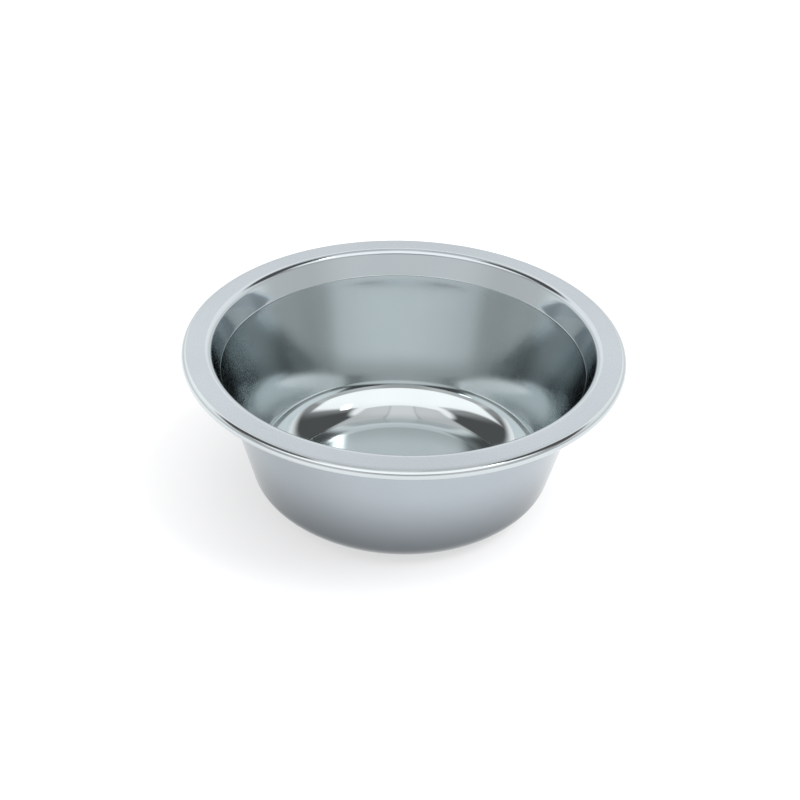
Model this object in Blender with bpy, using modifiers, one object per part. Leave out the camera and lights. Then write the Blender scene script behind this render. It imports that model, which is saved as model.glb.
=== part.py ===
# Pet food bowl, drawn in one piece from stainless steel sheet.
# Metres, +Z up. The origin is on the table, under the middle of the bowl.

import math

import bpy

# Driving dimensions
RIM_DIAMETER = 0.170  # over the rolled edge
RIM_HEIGHT = 0.0648  # table to the highest line of the rim
RIM_WIDTH = 0.0094  # from that line out to the rolled edge's outermost line
RIM_FALL = math.radians(4.8)  # the rim falls towards its edge
BASE_DIAMETER = 0.0818  # flat underside that stands on the table
BASE_RADIUS = 0.0186  # outer radius where the base turns up into the wall
NECK_DEPTH = 0.0092  # from the rim's highest line down to the foot of the flared neck
NECK_FLARE = math.radians(5.2)  # how much more the neck leans out than one straight wall would
NECK_RADIUS = 0.0060  # inner radius of the slight bend between wall and neck
MOUTH_RADIUS = 0.0025  # top radius where the neck turns out into the rim
ROLL_RADIUS = 0.0020  # outer radius of the rolled edge
ROLL_TURN = math.radians(280.0)  # how far the edge is rolled round
SHEET = 0.0006  # thickness of the steel

# How finely round things are divided
TURN_STEPS = 72
BEND_STEP = math.radians(12.0)
ROLL_STEP = math.radians(28.0)

# Finish of the steel
STEEL_COLOUR = (0.64, 0.66, 0.68, 1.0)
STEEL_ROUGHNESS = 0.16

# Directions in the section, where X runs outwards and Z up
OUTWARDS = 0.0
UPWARDS = math.radians(90.0)
INWARDS = math.radians(180.0)
DOWNWARDS = -UPWARDS

# Points of the profile closer than this are one point on the axis
MERGE_DISTANCE = 0.00001


def clear_scene():
    for item in list(bpy.data.objects):
        bpy.data.objects.remove(item, do_unlink=True)


def new_collection(name):
    collection = bpy.data.collections.new(name)
    bpy.context.scene.collection.children.link(collection)
    return collection


def steel_material():
    material = bpy.data.materials.new("stainless_steel")
    material.use_nodes = True
    shader = material.node_tree.nodes["Principled BSDF"]
    shader.inputs["Base Color"].default_value = STEEL_COLOUR
    shader.inputs["Metallic"].default_value = 1.0
    shader.inputs["Roughness"].default_value = STEEL_ROUGHNESS
    material.diffuse_color = STEEL_COLOUR
    return material


def step_off(point, direction, distance):
    x, z = point
    return x + distance * math.cos(direction), z + distance * math.sin(direction)


def arc(centre, radius, step, *corners):
    # Points on a circle through the corner angles, each stretch cut into equal steps.
    points = [step_off(centre, corners[0], radius)]
    for start, end in zip(corners, corners[1:]):
        count = max(1, math.ceil(abs(end - start) / step))
        for index in range(1, count + 1):
            angle = start + (end - start) * index / count
            points.append(step_off(centre, angle, radius))
    return points


def base_bend_centre():
    return BASE_DIAMETER / 2, BASE_RADIUS


def mouth_bend_centre():
    return RIM_DIAMETER / 2 - RIM_WIDTH, RIM_HEIGHT - MOUTH_RADIUS


def roll_centre():
    # The roll's circle touches the rim's top face, and RIM_DIAMETER is measured over it.
    mouth_x, mouth_z = mouth_bend_centre()
    x = RIM_DIAMETER / 2 - ROLL_RADIUS
    drop = (x - mouth_x) * math.tan(RIM_FALL)
    rise = (MOUTH_RADIUS - ROLL_RADIUS) / math.cos(RIM_FALL)
    return x, mouth_z - drop + rise


def lean_between(lower, lower_radius, upper, upper_radius):
    # The lean of a straight stretch that is tangent to two bends, which turn opposite ways.
    across = upper[0] - lower[0]
    rise = upper[1] - lower[1]
    radii = lower_radius + upper_radius
    return math.atan2(across, rise) - math.asin(radii / math.hypot(across, rise))


def neck_lean():
    straight_way = lean_between(
        base_bend_centre(), BASE_RADIUS - SHEET, mouth_bend_centre(), MOUTH_RADIUS
    )
    return straight_way + NECK_FLARE


def neck_bend_centre():
    # The neck runs down from the mouth bend, tangent to it, and ends at NECK_DEPTH.
    lean = neck_lean()
    top = step_off(mouth_bend_centre(), INWARDS - lean, MOUTH_RADIUS)
    length = (top[1] - RIM_HEIGHT + NECK_DEPTH) / math.cos(lean)
    bottom = step_off(top, DOWNWARDS - lean, length)
    return step_off(bottom, -lean, NECK_RADIUS)


def wall_lean():
    return lean_between(base_bend_centre(), BASE_RADIUS - SHEET, neck_bend_centre(), NECK_RADIUS)


def sheet_face(depth):
    # One face of the sheet from the axis out to the end of the roll.
    # The depth is 0 on the face that holds the food, and SHEET on the other.
    wall = wall_lean()
    neck = INWARDS - neck_lean()
    rim_normal = UPWARDS - RIM_FALL
    points = [(0.0, SHEET - depth)]
    points += arc(base_bend_centre(), BASE_RADIUS - SHEET + depth, BEND_STEP, DOWNWARDS, -wall)
    points += arc(neck_bend_centre(), NECK_RADIUS - depth, BEND_STEP, INWARDS - wall, neck)
    points += arc(
        mouth_bend_centre(), MOUTH_RADIUS - depth, BEND_STEP, neck, UPWARDS, rim_normal
    )
    points += arc(
        roll_centre(), ROLL_RADIUS - depth, ROLL_STEP, rim_normal, OUTWARDS, rim_normal - ROLL_TURN
    )
    return points


def bowl_section():
    return sheet_face(0.0) + sheet_face(SHEET)[::-1]


def turned_piece(name, section, material, collection):
    mesh = bpy.data.meshes.new(name)
    points = [(x, 0.0, z) for x, z in section]
    edges = [(index, index + 1) for index in range(len(points) - 1)]
    mesh.from_pydata(points, edges, [])
    mesh.materials.append(material)
    piece = bpy.data.objects.new(name, mesh)
    collection.objects.link(piece)
    screw = piece.modifiers.new("turn", "SCREW")
    screw.axis = "Z"
    screw.angle = math.tau
    screw.steps = TURN_STEPS
    screw.render_steps = TURN_STEPS
    screw.use_smooth_shade = True
    screw.use_merge_vertices = True
    screw.merge_threshold = MERGE_DISTANCE
    return piece


def main():
    clear_scene()
    collection = new_collection("pet_food_bowl")
    turned_piece("bowl", bowl_section(), steel_material(), collection)


main()
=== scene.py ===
# A pet food bowl of polished steel sheet on a pale studio floor.
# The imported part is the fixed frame. The bowl here turns its profile more finely, with a base
# bend that tightens next to the wall and a fine raised line at the neck's foot.

import math

import bpy
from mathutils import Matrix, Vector, noise


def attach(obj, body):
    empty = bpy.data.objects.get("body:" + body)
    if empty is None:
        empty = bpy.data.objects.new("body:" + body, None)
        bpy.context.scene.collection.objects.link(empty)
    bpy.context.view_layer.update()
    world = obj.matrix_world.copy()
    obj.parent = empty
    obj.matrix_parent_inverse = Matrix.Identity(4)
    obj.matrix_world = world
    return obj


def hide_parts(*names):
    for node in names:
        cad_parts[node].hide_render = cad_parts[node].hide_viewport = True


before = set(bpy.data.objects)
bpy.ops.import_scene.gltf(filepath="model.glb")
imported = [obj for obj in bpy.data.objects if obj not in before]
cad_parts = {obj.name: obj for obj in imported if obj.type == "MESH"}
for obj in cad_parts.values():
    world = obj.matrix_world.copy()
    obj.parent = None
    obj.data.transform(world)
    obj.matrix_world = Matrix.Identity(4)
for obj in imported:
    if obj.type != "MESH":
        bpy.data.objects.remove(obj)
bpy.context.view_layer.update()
print("frame loaded")

mm = 0.001

# Directions in the section, where x runs outwards and z up
downwards = -math.pi / 2
inwards = math.pi


# The bowl's profile, in millimetres and degrees, and how finely it is turned
bowl = {
    "rimDiameter": 170.0,
    "rimHeight": 64.8,
    "rimWidth": 9.4,
    "rimFall": 4.8,
    "baseDiameter": 78.8,
    "baseRadius": 22.0,  # the base bend is gentle at first, and tighter next to the wall
    "kneeFrom": 50.0,
    "kneeRadius": 11.0,
    "neckDepth": 9.2,
    "neckLean": 22.1,
    "neckRadius": 6.0,
    "neckBead": 0.07,  # a fine raised line at the neck's foot
    "mouthRadius": 2.5,
    "rollRadius": 2.0,
    "rollTurn": 280.0,
    "sheet": 0.6,
    "turnSteps": 300,
    "bendStep": 3.0,
    "rollStep": 10.0,
    "beadSteps": 10,
    "floorRings": 24,
    "wallRings": 18,
    "neckRings": 8,
    "rimRings": 5,
    "ripple": 0.012,  # how far the drawn sheet wanders from true
    "rippleAround": 2.2,  # how closely its waves follow each other round the bowl
    "rippleRise": 26.0,  # how far apart they are up the wall
}


def stepOff(point, direction, distance):
    x, z = point
    return x + distance * math.cos(direction), z + distance * math.sin(direction)


def alongLine(start, end, count):
    # Points after the start, up to and with the end
    return [
        (start[0] + (end[0] - start[0]) * i / count, start[1] + (end[1] - start[1]) * i / count)
        for i in range(1, count + 1)
    ]


def alongArc(centre, radius, start, end, step):
    count = max(1, math.ceil(abs(end - start) / math.radians(step)))
    return [
        stepOff(centre, start + (end - start) * i / count, radius) for i in range(1, count + 1)
    ]


def alongBead(start, end, rise, count):
    # Straight from start to end, raised between them towards the left of the way
    across = end[0] - start[0]
    up = end[1] - start[1]
    length = math.hypot(across, up)
    points = []
    for i in range(1, count + 1):
        share = i / count
        raised = rise * math.sin(math.pi * share) ** 2
        x = start[0] + across * share - raised * up / length
        z = start[1] + up * share + raised * across / length
        points.append((x, z))
    return points


def leanBetween(lower, lowerRadius, upper, upperRadius):
    # The lean of a straight stretch that touches two bends, which turn opposite ways
    across = upper[0] - lower[0]
    rise = upper[1] - lower[1]
    radii = lowerRadius + upperRadius
    return math.atan2(across, rise) - math.asin(radii / math.hypot(across, rise))


def mouthCentre():
    return bowl["rimDiameter"] / 2 - bowl["rimWidth"], bowl["rimHeight"] - bowl["mouthRadius"]


def rollCentre():
    # The roll's circle touches the rim's top face
    mouth = mouthCentre()
    fall = math.radians(bowl["rimFall"])
    x = bowl["rimDiameter"] / 2 - bowl["rollRadius"]
    drop = (x - mouth[0]) * math.tan(fall)
    rise = (bowl["mouthRadius"] - bowl["rollRadius"]) / math.cos(fall)
    return x, mouth[1] - drop + rise


def neckCentre():
    # The neck runs down from the mouth bend, and ends at its depth
    lean = math.radians(bowl["neckLean"])
    top = stepOff(mouthCentre(), inwards - lean, bowl["mouthRadius"])
    length = (top[1] - bowl["rimHeight"] + bowl["neckDepth"]) / math.cos(lean)
    foot = stepOff(top, downwards - lean, length)
    return stepOff(foot, -lean, bowl["neckRadius"])


def profileFace(depth):
    # One face of the sheet from the axis out to the end of the roll, each point with its zone.
    # The depth is 0 on the face that holds the food
    s = bowl
    step = s["bendStep"]
    rimNormal = math.pi / 2 - math.radians(s["rimFall"])
    rollEnd = rimNormal - math.radians(s["rollTurn"])
    kneeStart = downwards + math.radians(s["kneeFrom"])
    innerKnee = s["kneeRadius"] - s["sheet"]

    base = (s["baseDiameter"] / 2, s["baseRadius"])
    knee = stepOff(base, kneeStart, s["baseRadius"] - s["kneeRadius"])
    neck = neckCentre()
    mouth = mouthCentre()
    roll = rollCentre()
    wallLean = leanBetween(knee, innerKnee, neck, s["neckRadius"])
    wall = inwards - wallLean
    flare = inwards - math.radians(s["neckLean"])

    baseR = s["baseRadius"] - s["sheet"] + depth
    kneeR = innerKnee + depth
    neckR = s["neckRadius"] - depth
    mouthR = s["mouthRadius"] - depth
    rollR = s["rollRadius"] - depth

    middle = (0.0, s["sheet"] - depth)
    floorEdge = stepOff(base, downwards, baseR)
    wallFoot = stepOff(knee, -wallLean, kneeR)
    wallTop = stepOff(neck, wall, neckR)
    neckFoot = stepOff(neck, flare, neckR)
    neckTop = stepOff(mouth, flare, mouthR)
    rimInner = stepOff(mouth, rimNormal, mouthR)
    rimOuter = stepOff(roll, rimNormal, rollR)
    if depth == 0.0:
        neckBend = alongBead(wallTop, neckFoot, s["neckBead"], s["beadSteps"])
    else:
        neckBend = alongArc(neck, neckR, wall, flare, step)
    zones = [
        ("floor", [middle] + alongLine(middle, floorEdge, s["floorRings"])),
        ("baseBend", alongArc(base, baseR, downwards, kneeStart, step)),
        ("baseBend", alongArc(knee, kneeR, kneeStart, -wallLean, step)),
        ("wall", alongLine(wallFoot, wallTop, s["wallRings"])),
        ("neckBend", neckBend),
        ("neck", alongLine(neckFoot, neckTop, s["neckRings"])),
        ("mouthBend", alongArc(mouth, mouthR, flare, rimNormal, step)),
        ("rim", alongLine(rimInner, rimOuter, s["rimRings"])),
        ("roll", alongArc(roll, rollR, rimNormal, rollEnd, s["rollStep"])),
    ]
    return [(x, z, zone) for zone, points in zones for x, z in points]


def sheetRipple(angle, z):
    # Slow waves left by the drawing press
    turns = bowl["rippleAround"]
    spot = Vector((math.cos(angle) * turns, math.sin(angle) * turns, z / bowl["rippleRise"]))
    return noise.noise(spot) * bowl["ripple"]


def finishOf(zone, side):
    if zone == "roll":
        return "polishedRoll"
    if side == "outside":
        return "satinOutside"
    inside = {
        "floor": "polishedFloor",
        "baseBend": "polishedBend",
        "wall": "drawnWall",
        "neckBend": "drawnWall",
        "neck": "polishedNeck",
        "mouthBend": "polishedMouth",
        "rim": "satinRim",
    }
    return inside[zone]


def turnedRings(section):
    # Each point of the section turned into a ring, or kept as one point on the axis
    steps = bowl["turnSteps"]
    vertices = []
    rings = []
    for x, z, zone, side in section:
        first = len(vertices)
        if x == 0.0:
            vertices.append((0.0, 0.0, z * mm))
            rings.append([first] * steps)
            continue
        for i in range(steps):
            angle = math.tau * i / steps
            r = x
            if zone in ("baseBend", "wall", "neckBend"):
                r += sheetRipple(angle, z)
            vertices.append((r * math.cos(angle) * mm, r * math.sin(angle) * mm, z * mm))
        rings.append(list(range(first, first + steps)))
    return vertices, rings


def turnedFaces(section, rings, names):
    # The faces between neighbouring rings, each with the slot of its finish
    faces = []
    slots = []
    for k in range(len(section) - 1):
        zone = section[k][2]
        side = section[k + 1][3]
        if side == "inside":
            zone = section[k + 1][2]
        slot = names.index(finishOf(zone, side))
        lower = rings[k]
        upper = rings[k + 1]
        for i in range(len(lower)):
            j = (i + 1) % len(lower)
            corners = list(dict.fromkeys([lower[i], lower[j], upper[j], upper[i]]))
            if len(corners) < 3:
                continue
            faces.append(corners)
            slots.append(slot)
    return faces, slots


def buildBowl(names, materials):
    inner = [(x, z, zone, "inside") for x, z, zone in profileFace(0.0)]
    outer = [(x, z, zone, "outside") for x, z, zone in profileFace(bowl["sheet"])]
    section = inner + outer[::-1]
    vertices, rings = turnedRings(section)
    faces, slots = turnedFaces(section, rings, names)
    mesh = bpy.data.meshes.new("steelBowl")
    mesh.from_pydata(vertices, [], faces)
    for material in materials:
        mesh.materials.append(material)
    mesh.polygons.foreach_set("material_index", slots)
    mesh.polygons.foreach_set("use_smooth", [True] * len(faces))
    mesh.update()
    mesh.validate()
    piece = bpy.data.objects.new("steelBowl", mesh)
    bpy.context.scene.collection.objects.link(piece)
    return piece


def addNode(tree, kind, **settings):
    node = tree.nodes.new(kind)
    for key, value in settings.items():
        setattr(node, key, value)
    return node


def feed(tree, node, key, value):
    # A link where the value comes from another node, otherwise a plain number
    if hasattr(value, "links"):
        tree.links.new(value, node.inputs[key])
    else:
        node.inputs[key].default_value = value


def mathNode(tree, operation, a, b=None, clamp=False):
    node = addNode(tree, "ShaderNodeMath", operation=operation, use_clamp=clamp)
    feed(tree, node, 0, a)
    if b is not None:
        feed(tree, node, 1, b)
    return node.outputs[0]


def product(tree, first, *others):
    for other in others:
        first = mathNode(tree, "MULTIPLY", first, other)
    return first


def dotWith(tree, vector, direction):
    node = addNode(tree, "ShaderNodeVectorMath", operation="DOT_PRODUCT")
    tree.links.new(vector, node.inputs[0])
    node.inputs[1].default_value = direction
    return node.outputs["Value"]


def rampUp(tree, value, low, high, toLow=0.0, toHigh=1.0):
    # Smoothly from toLow to toHigh while the value goes from low to high
    node = addNode(tree, "ShaderNodeMapRange", interpolation_type="SMOOTHSTEP")
    tree.links.new(value, node.inputs["Value"])
    node.inputs["From Min"].default_value = low
    node.inputs["From Max"].default_value = high
    node.inputs["To Min"].default_value = toLow
    node.inputs["To Max"].default_value = toHigh
    return node.outputs[0]


def heightOf(angle):
    # The height of a direction that rises by this many degrees
    return math.sin(math.radians(angle))


def aboveAngle(tree, height, angle, edge):
    # 0 below the angle and 1 above it, soft over the edge each way
    return rampUp(tree, height, heightOf(angle - edge), heightOf(angle + edge))


def mixValue(tree, factor, a, b):
    node = addNode(tree, "ShaderNodeMix", data_type="FLOAT")
    feed(tree, node, "Factor", factor)
    feed(tree, node, "A", a)
    feed(tree, node, "B", b)
    return node.outputs["Result"]


# How the marks on the steel are drawn. Scales are per metre
marks = {
    "grainDetail": 3.0,
    "grainRoughness": 0.6,
    "patchScale": 26.0,
    "patchDetail": 4.0,
    "patchFrom": 0.35,  # where in the noise a patch starts, and where it is full
    "patchTo": 0.65,
    "scratchScale": 900.0,
    "scratchDetail": 1.0,
    "scratchSlants": (0.6, -1.1),  # radians
    "scratchThin": 0.03,  # width over length
    "scratchFrom": 0.70,
    "scratchTo": 0.76,
}


def newGroup(name, inputs, outputs):
    tree = bpy.data.node_groups.new(name, "ShaderNodeTree")
    for label, kind in inputs:
        tree.interface.new_socket(label, in_out="INPUT", socket_type=kind)
    for label, kind in outputs:
        tree.interface.new_socket(label, in_out="OUTPUT", socket_type=kind)
    return tree, tree.nodes.new("NodeGroupInput"), tree.nodes.new("NodeGroupOutput")


def turnedCoordinates():
    # The object's place as turn, radius and height, so that marks can run round the bowl
    tree, start, end = newGroup(
        "turnedCoordinates", [], [("Unrolled", "NodeSocketVector"), ("Height", "NodeSocketFloat")]
    )
    place = addNode(tree, "ShaderNodeTexCoord")
    split = addNode(tree, "ShaderNodeSeparateXYZ")
    tree.links.new(place.outputs["Object"], split.inputs[0])
    x, y, z = split.outputs
    squares = mathNode(tree, "ADD", product(tree, x, x), product(tree, y, y))
    join = addNode(tree, "ShaderNodeCombineXYZ")
    tree.links.new(mathNode(tree, "ARCTAN2", y, x), join.inputs[0])
    tree.links.new(mathNode(tree, "SQRT", squares), join.inputs[1])
    tree.links.new(z, join.inputs[2])
    tree.links.new(join.outputs[0], end.inputs["Unrolled"])
    tree.links.new(z, end.inputs["Height"])
    return tree


def grainMarks():
    # Fine marks drawn out in one direction; Stretch says how closely they lie in each
    tree, start, end = newGroup(
        "grainMarks",
        [("Place", "NodeSocketVector"), ("Stretch", "NodeSocketVector")],
        [("Height", "NodeSocketFloat")],
    )
    scaled = addNode(tree, "ShaderNodeVectorMath", operation="MULTIPLY")
    tree.links.new(start.outputs["Place"], scaled.inputs[0])
    tree.links.new(start.outputs["Stretch"], scaled.inputs[1])
    grain = addNode(tree, "ShaderNodeTexNoise")
    grain.inputs["Scale"].default_value = 1.0
    grain.inputs["Roughness"].default_value = marks["grainRoughness"]
    grain.inputs["Detail"].default_value = marks["grainDetail"]
    tree.links.new(scaled.outputs[0], grain.inputs["Vector"])
    tree.links.new(grain.outputs["Fac"], end.inputs["Height"])
    return tree


def wipedPatches():
    # Soft uneven patches where the polish was wiped
    tree, start, end = newGroup(
        "wipedPatches", [("Place", "NodeSocketVector")], [("Value", "NodeSocketFloat")]
    )
    cloud = addNode(tree, "ShaderNodeTexNoise")
    cloud.inputs["Scale"].default_value = marks["patchScale"]
    cloud.inputs["Detail"].default_value = marks["patchDetail"]
    tree.links.new(start.outputs["Place"], cloud.inputs["Vector"])
    patch = rampUp(tree, cloud.outputs["Fac"], marks["patchFrom"], marks["patchTo"])
    tree.links.new(patch, end.inputs["Value"])
    return tree


def hairScratches():
    # Sparse thin scratches at two slants
    tree, start, end = newGroup(
        "hairScratches",
        [("Place", "NodeSocketVector"), ("Amount", "NodeSocketFloat")],
        [("Mask", "NodeSocketFloat")],
    )
    masks = []
    for slant in marks["scratchSlants"]:
        turned = addNode(tree, "ShaderNodeVectorRotate", rotation_type="Z_AXIS")
        turned.inputs["Angle"].default_value = slant
        tree.links.new(start.outputs["Place"], turned.inputs["Vector"])
        drawn = addNode(tree, "ShaderNodeVectorMath", operation="MULTIPLY")
        drawn.inputs[1].default_value = (1.0, marks["scratchThin"], 1.0)
        tree.links.new(turned.outputs[0], drawn.inputs[0])
        cells = addNode(tree, "ShaderNodeTexNoise")
        cells.inputs["Scale"].default_value = marks["scratchScale"]
        cells.inputs["Detail"].default_value = marks["scratchDetail"]
        tree.links.new(drawn.outputs[0], cells.inputs["Vector"])
        line = addNode(tree, "ShaderNodeMapRange")
        line.inputs["From Min"].default_value = marks["scratchFrom"]
        line.inputs["From Max"].default_value = marks["scratchTo"]
        tree.links.new(cells.outputs["Fac"], line.inputs["Value"])
        masks.append(line.outputs[0])
    both = mathNode(tree, "MAXIMUM", masks[0], masks[1])
    tree.links.new(product(tree, both, start.outputs["Amount"]), end.inputs["Mask"])
    return tree


groups = {
    "turned": turnedCoordinates(),
    "grain": grainMarks(),
    "patches": wipedPatches(),
    "scratches": hairScratches(),
}
print("shared effects made")


def placeGroup(tree, name, **values):
    node = addNode(tree, "ShaderNodeGroup", node_tree=groups[name])
    for key, value in values.items():
        feed(tree, node, key, value)
    return node


# The finishes. Colours are linear, and roughness runs between its two values. Grain is given as
# how closely it lies per radian, per metre out and per metre up. Its height is in metres.
# The base shade, where a finish has one, is painted shade: how much of the colour is left at the
# base, and from what height up to what height it comes back, in metres
finishes = {
    "polishedFloor": {
        # Painted shade: the same polish as the bend, with a darker colour
        "colour": (0.455, 0.490, 0.498),
        "wiped": (0.440, 0.475, 0.485),
        "roughness": (0.03, 0.06),
        "drawnOut": 0.0,
        "grain": (60.0, 260.0, 120.0),
        "grainHeight": 0.0000004,
        "scratches": 0.06,
    },
    "polishedBend": {
        "colour": (0.575, 0.615, 0.625),
        "wiped": (0.550, 0.592, 0.600),
        "roughness": (0.03, 0.06),
        "drawnOut": 0.0,
        "grain": (60.0, 260.0, 120.0),
        "grainHeight": 0.0000004,
        "scratches": 0.06,
    },
    "drawnWall": {
        "colour": (0.583, 0.628, 0.643),
        "wiped": (0.563, 0.610, 0.623),
        "roughness": (0.09, 0.15),
        "drawnOut": 0.7,
        "grain": (26.0, 5.0, 9.0),
        "grainHeight": 0.0000060,
        "scratches": 0.04,
        # Painted shade: darker towards the foot of the wall
        "paintedBaseShade": (0.78, 0.013, 0.025),
    },
    "polishedNeck": {
        "colour": (0.560, 0.617, 0.645),
        "wiped": (0.545, 0.603, 0.632),
        "roughness": (0.05, 0.08),
        "drawnOut": 0.0,
        "grain": (26.0, 5.0, 9.0),
        "grainHeight": 0.0000020,
        "scratches": 0.04,
    },
    "polishedMouth": {
        "colour": (0.515, 0.560, 0.588),
        "wiped": (0.500, 0.545, 0.573),
        "roughness": (0.06, 0.10),
        "drawnOut": 0.0,
        "grain": (9.0, 900.0, 900.0),
        "grainHeight": 0.0000006,
        "scratches": 0.04,
    },
    "satinRim": {
        "colour": (0.485, 0.528, 0.563),
        "wiped": (0.470, 0.512, 0.545),
        "roughness": (0.24, 0.30),
        "drawnOut": 0.0,
        "grain": (9.0, 3600.0, 900.0),
        "grainHeight": 0.0000009,
        "scratches": 0.04,
    },
    "polishedRoll": {
        "colour": (0.575, 0.615, 0.630),
        "wiped": (0.545, 0.585, 0.600),
        "roughness": (0.06, 0.11),
        "drawnOut": 0.0,
        "grain": (6.0, 3000.0, 3000.0),
        "grainHeight": 0.0000010,
        "scratches": 0.06,
    },
    "satinOutside": {
        # Painted shade: the outside is given a darker colour than the steel inside
        "colour": (0.425, 0.466, 0.497),
        "wiped": (0.412, 0.453, 0.486),
        "roughness": (0.12, 0.17),
        "drawnOut": 0.0,
        "grain": (12.0, 900.0, 900.0),
        "grainHeight": 0.0000006,
        "scratches": 0.03,
        # Painted shade: darker towards the base
        "paintedBaseShade": (0.36, 0.003, 0.042),
    },
}


def steelColour(tree, look, place, height):
    patches = placeGroup(tree, "patches", Place=place)
    tint = addNode(tree, "ShaderNodeMix", data_type="RGBA")
    tint.inputs["A"].default_value = (*look["colour"], 1.0)
    tint.inputs["B"].default_value = (*look["wiped"], 1.0)
    tree.links.new(patches.outputs["Value"], tint.inputs["Factor"])
    paint = tint.outputs["Result"]
    # Painted shade: the colour darkens towards the base
    if "paintedBaseShade" in look:
        share, lowest, highest = look["paintedBaseShade"]
        baseShade = addNode(tree, "ShaderNodeMix", data_type="RGBA", blend_type="MULTIPLY")
        baseShade.inputs["Factor"].default_value = 1.0
        tree.links.new(paint, baseShade.inputs["A"])
        tree.links.new(rampUp(tree, height, lowest, highest, share, 1.0), baseShade.inputs["B"])
        paint = baseShade.outputs["Result"]
    return paint


def steelRoughness(tree, look, place, grain):
    low, high = look["roughness"]
    spread = addNode(tree, "ShaderNodeMapRange")
    spread.inputs["To Min"].default_value = low
    spread.inputs["To Max"].default_value = high
    tree.links.new(grain, spread.inputs["Value"])
    scratches = placeGroup(tree, "scratches", Place=place, Amount=look["scratches"])
    return mathNode(tree, "ADD", spread.outputs[0], scratches.outputs["Mask"], clamp=True)


def steelFinish(name):
    look = finishes[name]
    material = bpy.data.materials.new(name)
    material.use_nodes = True
    tree = material.node_tree
    shader = tree.nodes["Principled BSDF"]
    shader.inputs["Metallic"].default_value = 1.0
    shader.inputs["Anisotropic"].default_value = look["drawnOut"]
    around = addNode(tree, "ShaderNodeTangent", direction_type="RADIAL", axis="Z")
    tree.links.new(around.outputs["Tangent"], shader.inputs["Tangent"])

    place = addNode(tree, "ShaderNodeTexCoord").outputs["Object"]
    turned = placeGroup(tree, "turned")
    marked = placeGroup(tree, "grain", Place=turned.outputs["Unrolled"], Stretch=look["grain"])
    grain = marked.outputs["Height"]
    paint = steelColour(tree, look, place, turned.outputs["Height"])
    tree.links.new(paint, shader.inputs["Base Color"])
    tree.links.new(steelRoughness(tree, look, place, grain), shader.inputs["Roughness"])

    bump = addNode(tree, "ShaderNodeBump")
    bump.inputs["Strength"].default_value = 1.0
    bump.inputs["Distance"].default_value = look["grainHeight"]
    tree.links.new(grain, bump.inputs["Height"])
    tree.links.new(bump.outputs["Normal"], shader.inputs["Normal"])
    return material


steelBowl = buildBowl(list(finishes), [steelFinish(name) for name in finishes])
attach(steelBowl, "root")
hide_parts("bowl")
print("bowl turned:", len(steelBowl.data.polygons), "faces")


# Floor: pale, wide, keeps the bowl's shadow
floorLook = {
    "size": 3.0,  # metres each way from the bowl
    "colour": (0.35, 0.355, 0.36),
    # Painted shade: the added light is weaker next to the bowl, darkening the floor round its foot
    "lift": (0.61, 0.72),  # added light, next to the bowl and far from it
    "liftFrom": 0.055,
    "liftTo": 0.12,
}


def paleFloor():
    material = bpy.data.materials.new("paleFloor")
    material.use_nodes = True
    tree = material.node_tree
    shader = tree.nodes["Principled BSDF"]
    shader.inputs["Base Color"].default_value = (*floorLook["colour"], 1.0)
    shader.inputs["Roughness"].default_value = 1.0
    shader.inputs["Specular IOR Level"].default_value = 0.0
    path = addNode(tree, "ShaderNodeLightPath").outputs
    seen = mathNode(tree, "MAXIMUM", path["Is Camera Ray"], path["Is Glossy Ray"])
    seen = mathNode(tree, "MAXIMUM", seen, path["Is Transmission Ray"])
    place = addNode(tree, "ShaderNodeTexCoord").outputs["Object"]
    away = addNode(tree, "ShaderNodeVectorMath", operation="LENGTH")
    tree.links.new(place, away.inputs[0])
    # Painted shade: less added light next to the bowl
    lift = rampUp(
        tree, away.outputs["Value"], floorLook["liftFrom"], floorLook["liftTo"], *floorLook["lift"]
    )
    shader.inputs["Emission Color"].default_value = (1.0, 1.0, 1.0, 1.0)
    tree.links.new(product(tree, seen, lift), shader.inputs["Emission Strength"])
    return material


def buildFloor():
    size = floorLook["size"]
    corners = [(-size, -size, 0.0), (size, -size, 0.0), (size, size, 0.0), (-size, size, 0.0)]
    mesh = bpy.data.meshes.new("studioFloor")
    mesh.from_pydata(corners, [], [(0, 1, 2, 3)])
    mesh.materials.append(paleFloor())
    floor = bpy.data.objects.new("studioFloor", mesh)
    bpy.context.scene.collection.objects.link(floor)
    return floor


buildFloor()
print("floor laid")


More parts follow.
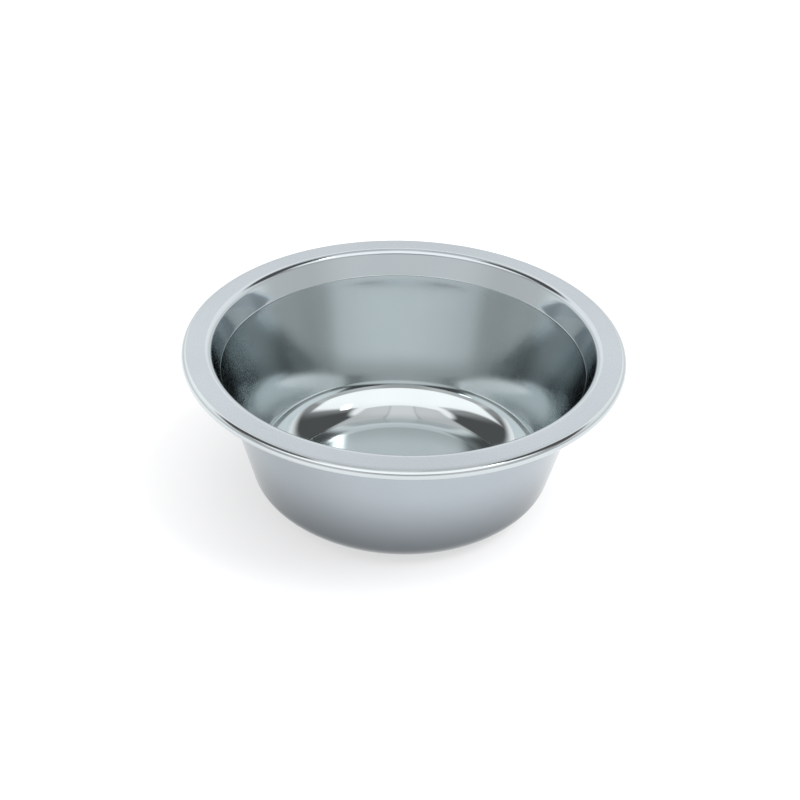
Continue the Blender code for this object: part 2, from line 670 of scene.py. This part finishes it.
# Studio light. The polished steel shows all of it: a pale sweep round the horizon, brightest
# behind the bowl, a softbox overhead that comes far down towards the camera, dark gaps left and
# right between the two, and a grey strip of ceiling straight behind.
# Angles are in degrees, and heights are over the horizon. A pair says where a change starts and
# ends: Turn in how far back the direction points, from -1 at the camera's side to 1 straight
# behind, Front the other way round, Across in how far it points to either side, and LeftRight
# from -1 at the left to 1 at the right
studio = {
    "horizon": 1.0,
    "horizonSide": 0.72,  # duller at the sides, above horizonTo
    "horizonTurn": (-0.15, 0.35),
    "horizonTo": 2.5,
    "horizonEdge": 1.5,
    "sweepBack": 1.33,
    "sweepSide": 1.12,
    "sweepLeftMore": 0.06,
    "sweepTurn": (-0.2, 1.0),
    "sweepRise": (17.0, 31.0),  # it gets brighter between these heights
    "sweepTop": 29.0,
    "sweepTilt": 20.0,  # its top edge rises towards the back
    "sweepEdge": 3.5,
    "sweepFront": (0.20, 0.35),  # it has no top edge further to the front
    "room": 0.84,  # the camera's side of the room, in the middle and at its sides
    "roomSide": 0.70,
    "roomFront": (0.05, 0.5),
    "roomMiddleFront": (0.5, 0.9),
    "band": 0.55,  # darker stretch of the room under the softbox's near edge
    "bandFrom": 18.0,
    "bandEdge": 2.0,
    "bandFront": (0.0, 0.6),
    "bandSide": 0.3,  # how much of it is left at the sides
    "bandAcross": (0.16, 0.40),
    "gap": 0.12,
    "gapSide": 0.42,
    "gapFront": (-0.25, 0.15),
    "gapTop": 70.0,
    "gapTopEdge": 2.0,
    "gapRound": 96.0,  # how far round the gaps reach from straight behind, at gapHalfUp
    "gapRoundEdge": 5.0,
    "gapHalfUp": 50.0,
    "gapLeftMore": 2.2,  # higher up they reach further round, most on the left
    "gapRightMore": 0.5,
    "gapLeftRight": (-0.2, 0.2),
    "softbox": 1.60,
    "softboxBack": 1.40,
    "softboxTurn": (-0.35, 0.10),
    "softboxLow": 37.0,  # its near edge
    "softboxEdge": 2.0,
    "softboxSide": 40.0,  # how high its side edges are, straight to the side
    "stripHalf": 0.26,
    "stripEdge": 0.02,
    "stripEnd": 8.0,  # past straight up, towards the camera
    "stripEndEdge": 1.5,
    "stripRound": 1.5,  # how much that end is rounded
    "stripLow": 0.76,
    "stripHigh": 0.94,
    "stripRise": (66.0, 86.0),
    "laneHalf": 0.073,  # a lighter lane down the middle of the strip, with dark seams
    "laneEdge": 0.004,
    "laneNarrow": 0.045,  # it narrows towards the back
    "laneMore": 0.10,
    "seamHalf": 0.008,
    "seamLess": 0.22,
}

# A bare tube on the right, which the steel shows as a glint. Places are how far round from
# straight behind, to the right, and how high over the horizon, in degrees
glintTube = {
    "from": (96.0, 64.0),
    "to": (114.0, 59.5),
    "halfWidth": 2.2,
    "sideEdge": 0.4,  # soft over this share of it
    "endEdge": 0.8,
    "strength": 6.0,
}

# A wide soft lamp on the right, which lays the bowl's shadow to the left
keyLamp = {
    "strength": 2.6,
    "place": (100.0, 56.0),
    "width": 40.0,
}


def directionTo(turned, high):
    turned = math.radians(turned)
    high = math.radians(high)
    flat = math.cos(high)
    return Vector((flat * math.sin(turned), flat * math.cos(turned), math.sin(high)))


def studioDirections(tree):
    # How high, how far back and how far to the side a direction points. The compass is its way
    # on the level, turn says how far back that points, and front how far to the camera's side
    towards = addNode(tree, "ShaderNodeTexCoord").outputs["Generated"]
    level = addNode(tree, "ShaderNodeVectorMath", operation="MULTIPLY")
    level.inputs[1].default_value = (1.0, 1.0, 0.0)
    tree.links.new(towards, level.inputs[0])
    compass = addNode(tree, "ShaderNodeVectorMath", operation="NORMALIZE")
    tree.links.new(level.outputs[0], compass.inputs[0])
    turn = dotWith(tree, compass.outputs[0], (0.0, 1.0, 0.0))
    return {
        "towards": towards,
        "compass": compass.outputs[0],
        "height": dotWith(tree, towards, (0.0, 0.0, 1.0)),
        "backwards": dotWith(tree, towards, (0.0, 1.0, 0.0)),
        "across": mathNode(tree, "ABSOLUTE", dotWith(tree, towards, (1.0, 0.0, 0.0))),
        "turn": turn,
        "front": mathNode(tree, "MULTIPLY", turn, -1.0),
    }


def sweepLevel(tree, at):
    # The sweep round the horizon, brighter higher up, with a darker band towards the camera
    s = studio
    toBack = rampUp(tree, at["turn"], *s["sweepTurn"])
    sweep = mixValue(tree, toBack, s["sweepSide"], s["sweepBack"])
    leftMore = dotWith(tree, at["compass"], (-s["sweepLeftMore"], 0.0, 0.0))
    sweep = mathNode(tree, "ADD", sweep, leftMore)
    dull = rampUp(tree, at["turn"], *s["horizonTurn"], s["horizonSide"], s["horizon"])
    overHorizon = aboveAngle(tree, at["height"], s["horizonTo"], s["horizonEdge"])
    horizon = mixValue(tree, overHorizon, s["horizon"], dull)
    rise = rampUp(tree, at["height"], *map(heightOf, s["sweepRise"]))
    sweep = mixValue(tree, rise, horizon, sweep)
    toMiddle = rampUp(tree, at["front"], *s["roomMiddleFront"])
    room = mixValue(tree, toMiddle, s["roomSide"], s["room"])
    sweep = mixValue(tree, rampUp(tree, at["front"], *s["roomFront"]), sweep, room)
    inBand = product(
        tree,
        aboveAngle(tree, at["height"], s["bandFrom"], s["bandEdge"]),
        rampUp(tree, at["front"], *s["bandFront"]),
        rampUp(tree, at["across"], *s["bandAcross"], 1.0, s["bandSide"]),
    )
    return mixValue(tree, inBand, sweep, s["band"])


def softboxMask(tree, at):
    # Overhead all round, and lower down on the camera's side
    s = studio
    overhead = aboveAngle(tree, at["height"], s["gapTop"], s["gapTopEdge"])
    higher = mathNode(tree, "SUBTRACT", at["height"], heightOf(s["gapHalfUp"]))
    right = dotWith(tree, at["compass"], (1.0, 0.0, 0.0))
    more = rampUp(tree, right, *s["gapLeftRight"], s["gapLeftMore"], s["gapRightMore"])
    nearness = mathNode(tree, "SUBTRACT", at["front"], product(tree, higher, more))
    nearSide = aboveAngle(tree, nearness, s["gapRound"] - 90.0, s["gapRoundEdge"])
    low = aboveAngle(tree, at["height"], s["softboxLow"], s["softboxEdge"])
    slant = math.radians(s["softboxSide"])
    for side in (-1.0, 1.0):
        inside = dotWith(tree, at["towards"], (side * math.sin(slant), 0.0, math.cos(slant)))
        low = product(tree, low, aboveAngle(tree, inside, 0.0, s["softboxEdge"]))
    return mathNode(tree, "MAXIMUM", overhead, product(tree, nearSide, low))


def ceilingStrip(tree, at):
    # The grey strip: where it is, and how bright
    s = studio
    half = s["stripHalf"]
    within = rampUp(tree, at["across"], half - s["stripEdge"], half + s["stripEdge"], 1.0, 0.0)
    end = math.radians(s["stripEnd"])
    ahead = dotWith(tree, at["towards"], (0.0, math.cos(end), math.sin(end)))
    rounded = product(tree, at["across"], at["across"], s["stripRound"])
    ahead = mathNode(tree, "SUBTRACT", ahead, rounded)
    mask = product(tree, within, aboveAngle(tree, ahead, 0.0, s["stripEndEdge"]))

    lowest, highest = map(heightOf, s["stripRise"])
    level = rampUp(tree, at["height"], lowest, highest, s["stripLow"], s["stripHigh"])
    narrower = product(tree, at["backwards"], s["laneNarrow"])
    fromMiddle = mathNode(tree, "ADD", at["across"], narrower)
    inner = s["laneHalf"] - s["laneEdge"]
    outer = s["laneHalf"] + s["laneEdge"]
    lane = rampUp(tree, fromMiddle, inner, outer, s["laneMore"], 0.0)
    fromSeam = mathNode(tree, "SUBTRACT", fromMiddle, s["laneHalf"] + s["seamHalf"])
    fromSeam = mathNode(tree, "ABSOLUTE", fromSeam)
    seam = rampUp(tree, fromSeam, 0.0, s["seamHalf"], s["seamLess"], 0.0)
    level = mathNode(tree, "SUBTRACT", mathNode(tree, "ADD", level, lane), seam)
    return mask, level


def insideTube(tree, at):
    tube = glintTube
    start = directionTo(*tube["from"])
    end = directionTo(*tube["to"])
    middle = (start + end).normalized()
    halfLength = math.degrees(start.angle(end)) / 2
    nearest = math.cos(math.radians(halfLength - tube["endEdge"]))
    farthest = math.cos(math.radians(halfLength + tube["endEdge"]))
    along = rampUp(tree, dotWith(tree, at["towards"], middle), farthest, nearest)
    beside = dotWith(tree, at["towards"], start.cross(end).normalized())
    beside = mathNode(tree, "ABSOLUTE", beside)
    half = heightOf(tube["halfWidth"])
    edge = half * tube["sideEdge"]
    return product(tree, rampUp(tree, beside, half - edge, half + edge, 1.0, 0.0), along)


def buildStudio():
    s = studio
    world = bpy.data.worlds.new("softStudio")
    bpy.context.scene.world = world
    world.use_nodes = True
    tree = world.node_tree
    at = studioDirections(tree)

    aboveSweep = dotWith(tree, at["towards"], directionTo(180.0, 90.0 - s["sweepTilt"]))
    pastSweep = aboveAngle(tree, aboveSweep, s["sweepTop"], s["sweepEdge"])
    behind = rampUp(tree, at["front"], *s["sweepFront"], 1.0, 0.0)
    gap = mixValue(tree, rampUp(tree, at["front"], *s["gapFront"]), s["gap"], s["gapSide"])
    room = mixValue(tree, product(tree, pastSweep, behind), sweepLevel(tree, at), gap)

    softbox = rampUp(tree, at["backwards"], *s["softboxTurn"], s["softbox"], s["softboxBack"])
    room = mixValue(tree, softboxMask(tree, at), room, softbox)
    inStrip, strip = ceilingStrip(tree, at)
    room = mixValue(tree, product(tree, inStrip, pastSweep), room, strip)
    room = mixValue(tree, insideTube(tree, at), room, glintTube["strength"])

    background = tree.nodes["Background"]
    background.inputs["Color"].default_value = (1.0, 1.0, 1.0, 1.0)
    tree.links.new(room, background.inputs["Strength"])
    return world


def buildKeyLamp():
    data = bpy.data.lights.new("keyLamp", "SUN")
    data.energy = keyLamp["strength"]
    data.angle = math.radians(keyLamp["width"])
    lamp = bpy.data.objects.new("keyLamp", data)
    bpy.context.scene.collection.objects.link(lamp)
    towards = directionTo(*keyLamp["place"])
    lamp.rotation_euler = towards.to_track_quat("Z", "Y").to_euler()
    lamp.visible_glossy = False  # the steel already shows the studio
    return lamp


buildStudio()
buildKeyLamp()
print("studio lit")


# Camera: the photograph's viewing angle, worked out from the rim's and the base's outlines
viewpoint = {
    "elevation": 32.93,
    "distance": 0.850,
    "target": (-0.0010, 0.0, 0.03955),
    "roll": 1.72,  # degrees, the scene leans clockwise
    "focalPixels": 2191.0,
    "framePixels": 800.0,
    "sensor": 36.0,
    "nearest": 0.01,
    "farthest": 50.0,
}


def buildCamera():
    v = viewpoint
    data = bpy.data.cameras.new("studioCamera")
    data.sensor_width = v["sensor"]
    data.lens = v["sensor"] * v["focalPixels"] / v["framePixels"]
    data.clip_start = v["nearest"]
    data.clip_end = v["farthest"]
    camera = bpy.data.objects.new("studioCamera", data)
    bpy.context.scene.collection.objects.link(camera)
    lift = math.radians(v["elevation"])
    away = Vector((0.0, -math.cos(lift), math.sin(lift)))
    camera.location = Vector(v["target"]) + away * v["distance"]
    camera.rotation_euler = away.to_track_quat("Z", "Y").to_euler()
    camera.rotation_euler.rotate_axis("Z", math.radians(v["roll"]))
    bpy.context.scene.camera = camera
    return camera


buildCamera()
bpy.context.scene.view_settings.view_transform = "Standard"
print("camera set")
